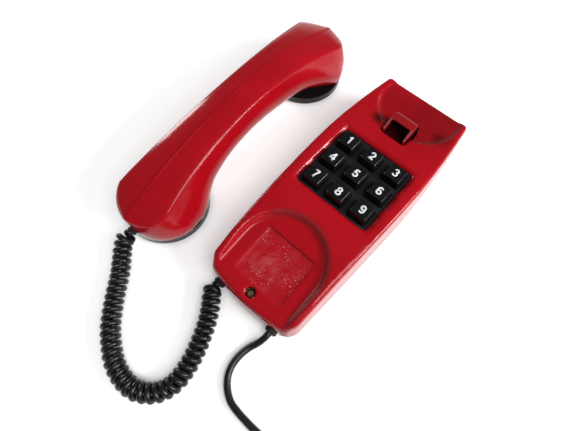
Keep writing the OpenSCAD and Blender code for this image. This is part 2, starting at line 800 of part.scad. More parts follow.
// Cap with rings of sound holes and a collar of radius r that goes into the shell
module cap(r, rings) {
    difference() {
        rotate_extrude($fn = 72) polygon([[0, 0], [cap_r - 1.8, 0], [cap_r - 0.5, 0.5],
            [cap_r, 1.8], [cap_r, cap_h - 0.05], [r, cap_h - 0.05], [r, cap_h + 4],
            [r - 2, cap_h + 4], [r - 2, cap_h - 2], [cap_r - 2, cap_h - 2], [cap_r - 2, 2], [0, 2]]);
        for (h = rings, k = [0 : h[1] - 1]) rotate([0, 0, 360 * k / h[1]])
            translate([h[0], 0, -1]) cylinder(r = 1.2, h = 4, $fn = 16);
    }
}

module ear_cap() {
    color(black) in_hand() translate([0, ear_s, 0])
        cap(ear_bore - 0.2, [[0, 1], [5, 6], [10, 12]]);
}
module mouth_cap() {
    color(black) in_hand() translate([0, mouth_s, 0]) cap(cap_r - 3, [[0, 1], [6, 8]]);
}

module capsule(r, h) {
    translate([0, 0, 2 + fit]) {
        cylinder(r = r, h = h * 0.55, $fn = 48);
        cylinder(r = r * 0.72, h = h, $fn = 48);
        for (s = [-1, 1]) translate([s * r * 0.35, 0, h - eps]) cylinder(r = 2, h = 1.4);
    }
}

module receiver_capsule() {
    color(steel) in_hand() translate([0, ear_s, 0]) capsule(ear_bore - 2.6, 12);
}

module transmitter_capsule() {
    color("#9aa0a6") in_hand() translate([0, mouth_s, 0]) capsule(cap_r - 6.5, 12);
}

module handset_grommet() {
    color(black) in_hand() translate([0, mouth_s - cap_r, grommet_z]) rotate([-90, 0, 0])
        difference() {
            union() {
                translate([0, 0, -grommet_out]) cylinder(r1 = 2.8, r2 = 3.8, h = grommet_out - 1);
                translate([0, 0, -1.1]) cylinder(r = 3.2, h = 4);
            }
            translate([0, 0, -6]) cylinder(r = 1.9, h = 12);
        }
}

/* ---- cords ---- */

module curly_cord() { color(black) tube(curly_route, curly_d / 2, 12, 1); }
module line_cord() { color(black) tube(line_route, line_d / 2, 8, 2); }

module line_cord_coil() {
    color(black) translate([coil_x, coil_y, 0]) rotate_extrude($fn = 48)
        translate([coil_inner, 0]) polygon([[1.5, 0.1], [3 * line_d - 1.5, 0.1],
            [3 * line_d, 1.6], [3 * line_d, coil_h - 1.5], [3 * line_d - 1.5, coil_h],
            [1.5, coil_h], [0, coil_h - 1.5], [0, 1.6]]);
}

// strap round the turns of the coil
module coil_tie() {
    color(black) translate([coil_x - coil_r, coil_y, 0]) difference() {
        translate([-1.5 * line_d - 1.2, -2, 0.1])
            cube([3 * line_d + 2.4, 4, coil_h + 1.3]);
        translate([-1.5 * line_d - 0.1, -3, 0.08]) cube([3 * line_d + 0.2, 6, coil_h + 0.1]);
    }
}

// modular plug lying on the coil
module line_plug() {
    color("#c9cdd0") translate([coil_x - 3, coil_y - coil_r, coil_h + 0.05]) {
        translate([-6, -3.3, 0]) cube([12, 6.6, 6.6]);
        translate([5.9, -2.4, 0.3]) cube([3.1, 4.8, 4.2]);
        translate([-5, -1.6, 6.5]) cube([9, 3.2, 1]);
    }
}

top_cover();
base_plate();
rubber_feet();
keypad_frame();
key(1);  // key_1
key(2);  // key_2
key(3);  // key_3
key(4);  // key_4
key(5);  // key_5
key(6);  // key_6
key(7);  // key_7
key(8);  // key_8
key(9);  // key_9
dome_mat();
main_board();
board_screws();
tone_chip();
line_transformer();
capacitors();
ballast_plate();
ringer();
terminal_block();
terminal_screws();
hook_lever();
hook_pin();
hook_spring();
hook_switch();
cover_screw();
base_screws();
line_grommet();
coil_cord_grommet();
handset_shell();
ear_cap();
mouth_cap();
receiver_capsule();
transmitter_capsule();
handset_grommet();
curly_cord();
line_cord();
line_cord_coil();
coil_tie();
line_plug();
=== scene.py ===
"""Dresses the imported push-button telephone: cords, key numerals, finishes, camera and studio.

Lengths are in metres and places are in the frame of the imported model: X across the base,
Y along it with the ear end at +Y, Z up, and the tabletop at Z = 0.
"""

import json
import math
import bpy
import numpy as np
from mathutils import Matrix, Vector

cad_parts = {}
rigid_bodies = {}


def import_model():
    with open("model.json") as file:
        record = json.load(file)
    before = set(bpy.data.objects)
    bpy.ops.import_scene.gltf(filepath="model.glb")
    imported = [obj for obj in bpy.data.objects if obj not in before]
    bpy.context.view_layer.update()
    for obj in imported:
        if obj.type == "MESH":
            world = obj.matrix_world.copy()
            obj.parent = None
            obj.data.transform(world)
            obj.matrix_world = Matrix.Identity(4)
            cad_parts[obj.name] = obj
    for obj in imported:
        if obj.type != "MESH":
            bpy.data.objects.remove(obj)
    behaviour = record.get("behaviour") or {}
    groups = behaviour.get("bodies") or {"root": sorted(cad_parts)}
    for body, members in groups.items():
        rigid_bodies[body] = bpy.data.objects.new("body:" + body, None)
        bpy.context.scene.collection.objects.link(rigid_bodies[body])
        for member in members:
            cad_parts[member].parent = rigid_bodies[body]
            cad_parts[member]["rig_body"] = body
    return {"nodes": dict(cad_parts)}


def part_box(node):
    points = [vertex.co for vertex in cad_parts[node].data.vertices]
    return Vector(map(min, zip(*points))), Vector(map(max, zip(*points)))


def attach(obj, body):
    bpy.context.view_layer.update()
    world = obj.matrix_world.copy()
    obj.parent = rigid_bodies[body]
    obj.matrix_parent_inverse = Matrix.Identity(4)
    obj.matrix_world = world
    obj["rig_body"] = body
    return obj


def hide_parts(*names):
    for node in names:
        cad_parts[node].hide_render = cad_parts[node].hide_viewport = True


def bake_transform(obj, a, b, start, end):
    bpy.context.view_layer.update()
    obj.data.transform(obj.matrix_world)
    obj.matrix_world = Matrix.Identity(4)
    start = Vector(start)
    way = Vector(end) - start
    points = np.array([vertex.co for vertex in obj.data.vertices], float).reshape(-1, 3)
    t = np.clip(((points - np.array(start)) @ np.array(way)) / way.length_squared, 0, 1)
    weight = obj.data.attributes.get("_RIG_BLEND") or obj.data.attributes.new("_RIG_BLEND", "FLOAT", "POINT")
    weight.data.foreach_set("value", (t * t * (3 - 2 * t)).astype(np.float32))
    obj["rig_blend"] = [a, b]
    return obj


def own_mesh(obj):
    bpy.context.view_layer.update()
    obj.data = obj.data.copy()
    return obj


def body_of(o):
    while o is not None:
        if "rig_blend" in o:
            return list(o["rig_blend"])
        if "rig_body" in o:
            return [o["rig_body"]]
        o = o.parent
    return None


bl_info = {
    "name": "Push-button Telephone Dressing",
    "version": (1, 0, 0),
    "blender": (4, 5, 0),
    "location": "3D View > Sidebar > Telephone",
    "description": "Cords, key numerals, finishes and studio for a push-button telephone",
    "category": "Object",
}

import bpy
from bpy.props import FloatProperty, FloatVectorProperty, IntProperty, PointerProperty
from mathutils import Matrix, Vector

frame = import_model()
MM = 0.001
KEYS = [f"key_{n}" for n in range(1, 10)]


def corners(node):
    """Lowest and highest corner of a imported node."""
    low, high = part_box(node)
    return Vector(low), Vector(high)


def middle(node):
    """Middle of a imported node's box."""
    low, high = corners(node)
    return (low + high) / 2


# How far the keys stand above the deck, how far the pockets' middles are from the base's
# ends, and how deep the floor of the mouth pocket lies
KEY_STAND = 2.5 * MM
MOUTH_INSET = 33.2 * MM
EAR_INSET = 11 * MM
MOUTH_DEPTH = 9.6 * MM

BASE_LOW, BASE_HIGH = corners("top_cover")
DECK_Z = corners("key_5")[1].z - KEY_STAND
MOUTH_CENTRE = Vector((0, BASE_LOW.y + MOUTH_INSET, BASE_HIGH.z - MOUTH_DEPTH))
EAR_Y = BASE_HIGH.y - EAR_INSET

# How far the lever turns, how thick the rubber mat is between its domes, and how
# much wider and longer the keypad's frame is than the opening over it
HOOK_TURN = math.radians(20)
MAT_THICK = 1 * MM
FRAME_LAP = 6.4 * MM


# ---- sizes and colours that a user would change ----

LENGTHS = {"subtype": "DISTANCE", "unit": "LENGTH", "precision": 5}
ANGLES = {"subtype": "ANGLE", "unit": "ROTATION"}
COLOURS = {"subtype": "COLOR", "size": 4, "min": 0, "max": 1}


class TelephoneFinish(bpy.types.PropertyGroup):
    """Colours and gloss of the parts"""

    red: FloatVectorProperty(
        name="Red", description="Colour of the moulded shells",
        default=(0.40, 0.0035, 0.010, 1), **COLOURS)
    red_shade: FloatVectorProperty(
        name="Red shade", description="Deeper tone that clouds the red",
        default=(0.34, 0.0025, 0.007, 1), **COLOURS)
    black: FloatVectorProperty(
        name="Black", description="Colour of the keys and caps",
        default=(0.0035, 0.0035, 0.004, 1), **COLOURS)
    cord: FloatVectorProperty(
        name="Cord", description="Colour of both cords",
        default=(0.007, 0.007, 0.008, 1), **COLOURS)
    print_white: FloatVectorProperty(
        name="Numerals", description="Colour of the printed numerals",
        default=(0.80, 0.81, 0.83, 1), **COLOURS)
    gloss: FloatProperty(
        name="Shell roughness", description="Roughness of the clean red shells",
        default=0.16, min=0.02, max=0.8, subtype="FACTOR")
    cover_grid: FloatProperty(
        name="Cover grid", description="Spacing of the grid that rounds the cover's edges",
        default=0.85 * MM, min=0.0005, max=0.003, **LENGTHS)
    lever_grid: FloatProperty(
        name="Lever grid", description="Spacing of the grid that rounds the lever's edges",
        default=0.5 * MM, min=0.0003, max=0.002, **LENGTHS)
    funnel: FloatProperty(
        name="Keypad wall", description="How far the walls round the keypad lean out",
        default=4.2 * MM, min=0.003, max=0.005, **LENGTHS)
    key_edge: FloatProperty(
        name="Key edge", description="Rounding of the edges of the keys",
        default=0.4 * MM, min=0, max=0.001, **LENGTHS)
    peel: FloatProperty(
        name="Moulding ripple", description="Height of the slight ripple in the gloss",
        default=0.02 * MM, min=0, max=0.001, **LENGTHS)


class TelephoneNumerals(bpy.types.PropertyGroup):
    """Printed numerals on the keys"""

    height: FloatProperty(
        name="Height", description="Height of a numeral",
        default=6.3 * MM, min=0.002, max=0.01, **LENGTHS)
    stroke: FloatProperty(
        name="Stroke", description="Width of the strokes",
        default=1.2 * MM, min=0.0002, max=0.003, **LENGTHS)
    ink: FloatProperty(
        name="Ink", description="Thickness of the print above the key",
        default=0.05 * MM, min=0, max=0.001, **LENGTHS)


class TelephoneCords(bpy.types.PropertyGroup):
    """The curly cord and the line cord"""

    curly_wire: FloatProperty(
        name="Curly wire", description="Diameter of the curled wire",
        default=4 * MM, min=0.002, max=0.008, **LENGTHS)
    curly_outside: FloatProperty(
        name="Curl diameter", description="Outside diameter of the curls",
        default=13 * MM, min=0.006, max=0.03, **LENGTHS)
    curls: IntProperty(
        name="Curls", description="Number of curls along the cord",
        default=44, min=10, max=120)
    line_wire: FloatProperty(
        name="Line cord", description="Diameter of the line cord",
        default=4.5 * MM, min=0.002, max=0.008, **LENGTHS)


class TelephoneStudio(bpy.types.PropertyGroup):
    """Camera, lamps and floor"""

    place: FloatVectorProperty(
        name="Camera place", description="Where the camera stands",
        default=(0.051549, -0.117696, 0.2666), subtype="TRANSLATION", unit="LENGTH")
    azimuth: FloatProperty(
        name="Azimuth", description="Turn of the camera about the vertical",
        default=math.radians(41.916), **ANGLES)
    elevation: FloatProperty(
        name="Elevation", description="How far the camera looks down",
        default=math.radians(66.332), **ANGLES)
    roll: FloatProperty(
        name="Roll", description="Turn of the camera about its own line of sight",
        default=math.radians(0.363), **ANGLES)
    lens: FloatProperty(
        name="Lens", description="Focal length for a 36 mm wide sensor, in millimetres",
        default=25.305, min=5, max=200)
    floor_size: FloatProperty(
        name="Floor", description="Width of the floor",
        default=6, min=1, max=20, **LENGTHS)
    key_lamp: FloatProperty(
        name="Window lamp", description="Power of the large lamp at the right",
        default=14, min=0, max=200, unit="POWER")
    left_lamp: FloatProperty(
        name="Left window", description="Power of the small window at the left",
        default=5, min=0, max=200, unit="POWER")
    top_lamp: FloatProperty(
        name="Top lamp", description="Power of the soft lamp overhead",
        default=7, min=0, max=200, unit="POWER")
    ambient: FloatProperty(
        name="Ambient", description="Strength of the even light of the room",
        default=0.14, min=0, max=2)
    floor_lift: FloatProperty(
        name="Floor lift", description="How much whiter the open floor looks to the camera",
        default=0.42, min=0, max=2)


# ---- helpers for pieces ----

WELD = 0.004 * MM


def linked(name, data):
    """A new object of the scene with the given data."""
    made = bpy.data.objects.new(name, data)
    bpy.context.collection.objects.link(made)
    return made


def activate(piece):
    """Leaves only this piece selected, and active."""
    bpy.ops.object.select_all(action="DESELECT")
    piece.select_set(True)
    bpy.context.view_layer.objects.active = piece


def edit_all(piece):
    """Opens the piece in edit mode with its whole mesh selected."""
    activate(piece)
    bpy.ops.object.mode_set(mode="EDIT")
    bpy.ops.mesh.select_all(action="SELECT")


def merged_copy(node, name):
    """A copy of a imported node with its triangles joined, which stands for it."""
    source = frame["nodes"][node]
    skin = linked(name, source.data.copy())
    skin.data.name = name
    activate(skin)
    bpy.ops.mesh.customdata_custom_splitnormals_clear()
    edit_all(skin)
    bpy.ops.mesh.remove_doubles(threshold=WELD)
    bpy.ops.object.mode_set(mode="OBJECT")
    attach(skin, body_of(source)[0])
    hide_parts(node)
    return skin


def apply(piece, kind, **settings):
    """Adds a modifier with its settings and applies it."""
    modifier = piece.modifiers.new(kind.lower(), kind)
    for name, value in settings.items():
        setattr(modifier, name, value)
    activate(piece)
    bpy.ops.object.modifier_apply(modifier=modifier.name)


def soften(piece, voxel, passes):
    """Rounds every edge of a closed piece a little, as moulding and polish do."""
    apply(piece, "REMESH", mode="VOXEL", voxel_size=voxel, use_smooth_shade=True)
    apply(piece, "SMOOTH", factor=0.5, iterations=passes)
    activate(piece)
    bpy.ops.object.shade_smooth()


def add_line(curve, points, closed=False):
    """Adds a line through the points to a curve."""
    spline = curve.splines.new("POLY")
    spline.use_cyclic_u = closed
    spline.points.add(len(points) - 1)
    for point, place in zip(spline.points, points):
        point.co = (*place, 1.0)


def made_mesh(curve):
    """The curve turned into a mesh."""
    activate(curve)
    bpy.ops.object.convert(target="MESH")
    return bpy.context.object


def settle(piece, centre, top):
    """Moves the piece's mesh so that its middle is over the centre and its foot is on top."""
    places = [v.co for v in piece.data.vertices]
    low, high = (Vector([pick(p[i] for p in places) for i in range(3)]) for pick in (min, max))
    foot = Vector((*(low.xy + high.xy) / 2, low.z))
    piece.data.transform(Matrix.Translation(Vector((centre.x, centre.y, top)) - foot))


# ---- node helpers ----


def add(tree, kind, inputs=None, **settings):
    """Adds a node; an input given a socket is linked to it, any other is set."""
    made = tree.nodes.new(kind)
    for name, value in settings.items():
        setattr(made, name, value)
    for name, value in (inputs or {}).items():
        if isinstance(value, bpy.types.NodeSocket):
            tree.links.new(value, made.inputs[name])
        else:
            made.inputs[name].default_value = value
    return made


def math_node(tree, operation, a, b=0.0):
    """The result of one Math node."""
    return add(tree, "ShaderNodeMath", {0: a, 1: b}, operation=operation).outputs[0]


def chained(tree, operation, values):
    """All the values put together, one after another, by the same operation."""
    result = values[0]
    for value in values[1:]:
        result = math_node(tree, operation, result, value)
    return result


def times(tree, *values):
    """The product of the values."""
    return chained(tree, "MULTIPLY", values)


def plus(tree, *values, clamp=False):
    """The sum of two or more values, held between 0 and 1 if clamp is true."""
    total = chained(tree, "ADD", values)
    total.node.use_clamp = clamp
    return total


def largest(tree, *values):
    """The largest of the values."""
    return chained(tree, "MAXIMUM", values)


def minus(tree, a, b):
    """The first value less the second."""
    return math_node(tree, "SUBTRACT", a, b)


def mix(tree, factor, a, b):
    """Mixes two colours."""
    return add(tree, "ShaderNodeMix", {0: factor, 6: a, 7: b}, data_type="RGBA").outputs[2]


def ramp(tree, value, low, high, to_low=0.0, to_high=1.0):
    """Spreads the values from low to high over to_low to to_high, and holds them there."""
    return add(tree, "ShaderNodeMapRange", {
        "Value": value, "From Min": low, "From Max": high,
        "To Min": to_low, "To Max": to_high}).outputs["Result"]


def band(tree, value, half, soft):
    """1 where the value is within half of zero, fading out over soft."""
    return ramp(tree, math_node(tree, "ABSOLUTE", value), half, half + soft, 1.0, 0.0)


def noise(tree, vector, scale, detail=2.0, roughness=0.5):
    """Noise between 0 and 1."""
    return add(tree, "ShaderNodeTexNoise", {
        "Vector": vector, "Scale": scale, "Detail": detail,
        "Roughness": roughness}).outputs["Fac"]


def object_vector(tree):
    """The object coordinates of a material."""
    return tree.nodes.new("ShaderNodeTexCoord").outputs["Object"]


def axes(tree, vector):
    """The X, Y and Z of a vector."""
    return add(tree, "ShaderNodeSeparateXYZ", {"Vector": vector}).outputs


def distance(tree, vector, place=(0, 0, 0)):
    """How far the vector is from a place."""
    return add(tree, "ShaderNodeVectorMath", {0: vector, 1: place},
               operation="DISTANCE").outputs["Value"]


def flat_distance(tree, vector, x, y):
    """How far the vector is from a place, seen from above."""
    flat = add(tree, "ShaderNodeVectorMath", {0: vector, 1: (1, 1, 0)}, operation="MULTIPLY")
    return distance(tree, flat.outputs[0], (x, y, 0))


def stretched(tree, vector, scale, turn=0.0):
    """The vector turned about Z, then with its axes scaled apart."""
    turned = add(tree, "ShaderNodeMapping", {"Vector": vector, "Rotation": (0, 0, turn)})
    return add(tree, "ShaderNodeMapping",
               {"Vector": turned.outputs[0], "Scale": scale}).outputs[0]


# ---- node groups that the finishes share ----


def add_socket(group, name, kind, in_out="INPUT"):
    """Adds a Float, Color or Vector socket to a group."""
    return group.interface.new_socket(name, in_out=in_out, socket_type="NodeSocket" + kind)


def new_group(name, colours, numbers):
    """A group that makes a surface's colour, roughness and height, and what it is given."""
    group = bpy.data.node_groups.new(name, "ShaderNodeTree")
    add_socket(group, "Vector", "Vector")
    for colour in colours:
        add_socket(group, colour, "Color")
    for number, usual in numbers.items():
        add_socket(group, number, "Float").default_value = usual
    for output, kind in (("Color", "Color"), ("Roughness", "Float"), ("Height", "Float")):
        add_socket(group, output, kind, "OUTPUT")
    return group, group.nodes.new("NodeGroupInput").outputs


def put_out(group, colour, roughness, height):
    """Feeds the three outputs of a group."""
    add(group, "NodeGroupOutput", {"Color": colour, "Roughness": roughness, "Height": height})


def gloss_group():
    """Glossy moulding: clouded colour, smudges, hairlines, dust specks and a faint ripple."""
    group, given = new_group("Glossy moulding", ["Color", "Shade", "Dust Color"],
                             {"Dust": 0.5, "Roughness": 0.16, "Smudge": 0.1})
    v = given["Vector"]
    clouds = ramp(group, noise(group, v, 22, 3), 0.35, 0.68)
    tone = mix(group, clouds, given["Color"], given["Shade"])
    specks = ramp(group, noise(group, v, 1300, 1), 0.735, 0.77)
    patches = ramp(group, noise(group, v, 45, 2), 0.45, 0.7)
    dust = times(group, specks, patches, given["Dust"])
    lines = ramp(group, noise(group, stretched(group, v, (900, 26, 300), 0.5), 1, 1),
                 0.70, 0.735)
    cross = ramp(group, noise(group, stretched(group, v, (700, 20, 300), -0.9), 1, 1),
                 0.71, 0.745)
    hairlines = largest(group, lines, cross)
    smears = ramp(group, noise(group, v, 60, 5, 0.6), 0.42, 0.75)
    ripple = noise(group, v, 330, 1)
    put_out(group, mix(group, dust, tone, given["Dust Color"]),
            plus(group, given["Roughness"], times(group, smears, given["Smudge"]),
                 times(group, hairlines, 0.08), times(group, dust, 0.4), clamp=True),
            minus(group, ripple, times(group, hairlines, 0.15)))
    return group


def grain_group():
    """Fine grain of matt mouldings, rubber and castings."""
    group, given = new_group("Fine grain", ["Color", "Tone"],
                             {"Scale": 900.0, "Roughness": 0.6, "Spread": 0.15})
    fine = noise(group, given["Vector"], given["Scale"], 2)
    broad = noise(group, given["Vector"], times(group, given["Scale"], 0.06), 3)
    both = plus(group, times(group, fine, 0.35), times(group, broad, 0.65))
    put_out(group, mix(group, ramp(group, both, 0.38, 0.64), given["Color"], given["Tone"]),
            plus(group, given["Roughness"], times(group, broad, given["Spread"]), clamp=True),
            fine)
    return group


def brushed_group():
    """Fine lines and dull patches of rolled or drawn metal."""
    group, given = new_group("Drawn metal", ["Color", "Dull Color"], {"Roughness": 0.3})
    lines = noise(group, stretched(group, given["Vector"], (1600, 60, 1600)), 1, 2)
    stain = ramp(group, noise(group, given["Vector"], 260, 4, 0.65), 0.45, 0.7)
    put_out(group, mix(group, stain, given["Color"], given["Dull Color"]),
            plus(group, given["Roughness"], times(group, stain, 0.3),
                 times(group, lines, 0.15), clamp=True),
            lines)
    return group


made_groups = {}


def placed_group(tree, build, inputs):
    """The outputs of a group on object coordinates; it is built when it is first asked for."""
    if build not in made_groups:
        made_groups[build] = build()
    return add(tree, "ShaderNodeGroup", {"Vector": object_vector(tree), **inputs},
               node_tree=made_groups[build]).outputs


# ---- finishes ----

GLOSS_SHADER = {"Specular IOR Level": 0.35}
MATT_SHADER = {"Specular IOR Level": 0.3}
METAL_SHADER = {"Metallic": 1.0}
METAL_DEPTH = 0.006 * MM
DUST_TINT = (0.5, 0.45, 0.44, 1)


def new_material(name, settings=None):
    """A material, its tree and its Principled BSDF, whose named inputs are set."""
    material = bpy.data.materials.new(name)
    material.use_nodes = True
    tree = material.node_tree
    tree.nodes.clear()
    shader = add(tree, "ShaderNodeBsdfPrincipled", settings)
    add(tree, "ShaderNodeOutputMaterial", {"Surface": shader.outputs[0]})
    return material, tree, shader


def feed(shader, inputs):
    """Links values to the shader's named inputs."""
    for name, value in inputs.items():
        shader.id_data.links.new(value, shader.inputs[name])


def bumps(tree, height, depth):
    """The normal of a surface with bumps of the given depth."""
    return add(tree, "ShaderNodeBump", {"Height": height, "Distance": depth}).outputs[0]


def surfaced(name, settings, build, inputs, depth):
    """A material whose colour, roughness and bumps all come from one group."""
    material, tree, shader = new_material(name, settings)
    surface = placed_group(tree, build, inputs)
    feed(shader, {"Base Color": surface["Color"], "Roughness": surface["Roughness"],
                  "Normal": bumps(tree, surface["Height"], depth)})
    return material


def wear(material, *nodes):
    """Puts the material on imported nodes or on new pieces."""
    for name in nodes:
        holder = frame["nodes"][name] if name in frame["nodes"] else bpy.data.objects[name]
        if not holder.material_slots:
            holder.data.materials.append(material)
        for slot in holder.material_slots:
            slot.material = material


def toned(colour, factor):
    """The colour made brighter or darker by a factor."""
    return tuple(c * factor for c in colour[:3]) + (1.0,)


def gloss(colour, shade, roughness, smudge, dust):
    """What the gloss group is given for a smooth moulding."""
    return {"Color": colour, "Shade": shade, "Roughness": roughness,
            "Smudge": smudge, "Dust Color": DUST_TINT, "Dust": dust}


def red_gloss(finish, smudge, dust):
    """What the gloss group is given for the red shells."""
    return gloss(finish.red, finish.red_shade, finish.gloss, smudge, dust)


def glossy(name, inputs, depth):
    """Clouded gloss with a ripple of the given depth."""
    return surfaced(name, GLOSS_SHADER, gloss_group, inputs, depth)


def grained(name, colour, tone, scale, roughness, depth=0.02 * MM):
    """Matt surface whose grain gets finer as its scale grows."""
    return surfaced(name, MATT_SHADER, grain_group, {
        "Color": colour, "Tone": tone, "Scale": scale, "Roughness": roughness}, depth)


def metallic(name, colour, dull, roughness):
    """Drawn metal with dull stains."""
    return surfaced(name, METAL_SHADER, brushed_group, {
        "Color": colour, "Dull Color": dull, "Roughness": roughness}, METAL_DEPTH)


# ---- red finishes of the cover and the lever ----

# The label seat, the step round it, the old film on it, the pockets' walls and the lever's slot, where shade
# is painted on the step, walls and slot
SEAT_Y = MOUTH_CENTRE.y - 3.7 * MM
SEAT_HALF_X = 18.6 * MM
SEAT_HALF_Y = 16.6 * MM
SEAT_STEP = 0.3 * MM
FILM_CENTRE = MOUTH_CENTRE - Vector((3 * MM, 8 * MM, 0))
MOUTH_WALL_RADIUS = 30.5 * MM
EAR_WALL_RADIUS = 30 * MM
SLOT_HALF_WIDTH = 9.3 * MM
SLOT_HALF_LENGTH = 13 * MM
GLUE_TINT = (0.62, 0.34, 0.36, 1)
# Painted shade on the steps at the label seat's edges
STEP_SHADE_TINT = (0.02, 0.001, 0.002, 1)
# Painted shade and dark reflection on the pockets' walls and in the ear dish
WALL_SHADE_TINT = (0.02, 0.0003, 0.001, 1)
# Painted shade in the screw's hole and down in the lever's slot
HOLLOW_SHADE_TINT = (0.035, 0.001, 0.003, 1)
# Painted shade on the lever down in its slot
LEVER_SHADE_TINT = (0.05, 0.001, 0.004, 1)
# x, y from the middle of the ear pocket, reach of full and of no painted shadow, all in mm; strength
EAR_SHADOW_SPOTS = [(-17, -28, 1.5, 7, 1.6), (24, -12, 2, 12, 1.4)]


def cover_material(finish):
    """Red gloss of the cover, with an old label's residue, and painted shade at the seat's steps, in the
    pockets and in the hollows.
    """
    material, tree, shader = new_material("red_cover", GLOSS_SHADER)
    v = object_vector(tree)
    surface = placed_group(tree, gloss_group, red_gloss(finish, smudge=0.04, dust=0.06))
    # The third mask is the painted shade on the label seat's steps
    on_seat, glue, steps = label_seat(tree, v)
    walls = pocket_walls(tree, v)
    # Painted shade on the pockets' walls and in the ear dish
    painted_shade = largest(tree, times(tree, walls, 0.4), times(tree, ear_dish(tree, v), 0.52))
    # Painted shade in the screw's hole and down in the lever's slot
    hollows = largest(tree, screw_hollow(tree, v), lever_hollow(tree, v))
    colour = surface["Color"]
    for amount, tint in ((times(tree, glue, 0.8), GLUE_TINT),
                         (times(tree, steps, 0.62), STEP_SHADE_TINT),
                         (painted_shade, WALL_SHADE_TINT), (hollows, HOLLOW_SHADE_TINT)):
        colour = mix(tree, amount, colour, tint)
    dulled = plus(tree, surface["Roughness"], times(tree, on_seat, 0.12),
                  times(tree, walls, 0.3), times(tree, glue, 0.3), clamp=True)
    height = plus(tree, surface["Height"], times(tree, glue, 3.0))
    feed(shader, {"Base Color": colour, "Roughness": dulled,
                  "Normal": bumps(tree, height, finish.peel)})
    return material


def label_seat(tree, vector):
    """Where the label seat is, where old glue is left on it, and the painted shade on the steps at its
    edges.
    """
    x, y, _ = axes(tree, vector)
    y = minus(tree, y, SEAT_Y)
    on_seat = times(tree, band(tree, x, SEAT_HALF_X, 0.6 * MM),
                    band(tree, y, SEAT_HALF_Y, 0.6 * MM))
    crumbs = ramp(tree, noise(tree, vector, 900, 3, 0.6), 0.60, 0.66)
    crumb_field = ramp(tree, noise(tree, vector, 80, 3), 0.42, 0.62)
    film = ramp(tree, noise(tree, stretched(tree, vector, (150, 70, 100), 0.6), 1, 4, 0.7),
                0.45, 0.75)
    film_field = ramp(tree, distance(tree, vector, FILM_CENTRE), 4 * MM, 15 * MM, 1.0, 0.15)
    glue = times(tree, on_seat, largest(tree, times(tree, crumbs, crumb_field),
                                        times(tree, film, film_field, 0.32)))
    far_step_shade = seat_step_shade(tree, y, SEAT_HALF_Y, 0.2 * MM, x, SEAT_HALF_X)
    right_step_shade = seat_step_shade(tree, x, SEAT_HALF_X, 0.1 * MM, y, SEAT_HALF_Y)
    return on_seat, glue, largest(tree, far_step_shade, times(tree, right_step_shade, 0.5))


def seat_step_shade(tree, across, half_size, thick, along, half_run):
    """1 on the step at one side of the label seat, where shade is painted."""
    return times(tree, band(tree, minus(tree, across, half_size + SEAT_STEP), thick, 0.5 * MM),
                 band(tree, along, half_run + 0.4 * MM, 0.3 * MM))


def pocket_walls(tree, vector):
    """1 on the far and right walls of both pockets, where shade is painted."""
    x, y, _ = axes(tree, vector)
    beyond = largest(tree, minus(tree, y, MOUTH_CENTRE.y), 0.0)
    from_mouth = distance(tree, add(tree, "ShaderNodeCombineXYZ",
                                    {"X": x, "Y": beyond}).outputs[0])
    from_ear = flat_distance(tree, vector, 0, EAR_Y)
    rings = [band(tree, minus(tree, out, radius), 1.2 * MM, 1.8 * MM)
             for out, radius in ((from_mouth, MOUTH_WALL_RADIUS), (from_ear, EAR_WALL_RADIUS))]
    return times(tree, ramp(tree, x, -27 * MM, -20 * MM), largest(tree, *rings))


def ear_dish(tree, vector):
    """1 where shade and a dark reflection are painted in the ear dish, most on its right, and at two painted
    shadows.
    """
    out = flat_distance(tree, vector, 0, EAR_Y)
    clouds = ramp(tree, noise(tree, vector, 45, 3), 0.35, 0.65, 0.55, 1.0)
    to_right = ramp(tree, axes(tree, vector)["X"], -22 * MM, 16 * MM, 0.35, 1.0)
    painted_shade = times(tree, ramp(tree, out, 27 * MM, 31 * MM, 1.0, 0.0), clouds, to_right)
    for x, y, inner, outer, strength in EAR_SHADOW_SPOTS:
        away = flat_distance(tree, vector, x * MM, EAR_Y + y * MM)
        painted_shade = largest(tree, painted_shade,
                        ramp(tree, away, inner * MM, outer * MM, strength, 0.0))
    return painted_shade


def screw_hollow(tree, vector):
    """1 inside the hole of the screw by the mouth pocket, where shade is painted."""
    screw = middle("cover_screw")
    out = flat_distance(tree, vector, screw.x, screw.y)
    return ramp(tree, out, 3.3 * MM, 3.7 * MM, 1.0, 0.0)


def lever_hollow(tree, vector):
    """1 down in the slot of the hook lever, where shade is painted."""
    x, y, z = axes(tree, vector)
    slot_middle = corners("hook_lever")[1].y - 8 * MM
    across = band(tree, x, SLOT_HALF_WIDTH, 0.3 * MM)
    along = band(tree, minus(tree, y, slot_middle), SLOT_HALF_LENGTH, 0.5 * MM)
    below = ramp(tree, z, DECK_Z - 5 * MM, DECK_Z - 2.5 * MM, 1.0, 0.0)
    return times(tree, across, along, below)


def lever_material(finish):
    """Red gloss with painted shade down in the slot."""
    material, tree, shader = new_material("red_lever")
    surface = placed_group(tree, gloss_group, red_gloss(finish, smudge=0.05, dust=0.1))
    height = axes(tree, object_vector(tree))["Z"]
    # Painted shade, darker the lower the lever lies in the slot
    deep = ramp(tree, height, DECK_Z - 3 * MM, DECK_Z + 1 * MM, 0.96, 0.3)
    feed(shader, {"Base Color": mix(tree, deep, surface["Color"], LEVER_SHADE_TINT),
                  "Roughness": plus(tree, surface["Roughness"], 0.15)})
    return material


# ---- shells, keys and caps ----

# Smoothing passes over the cover and the lever
COVER_PASSES = 22
LEVER_PASSES = 6


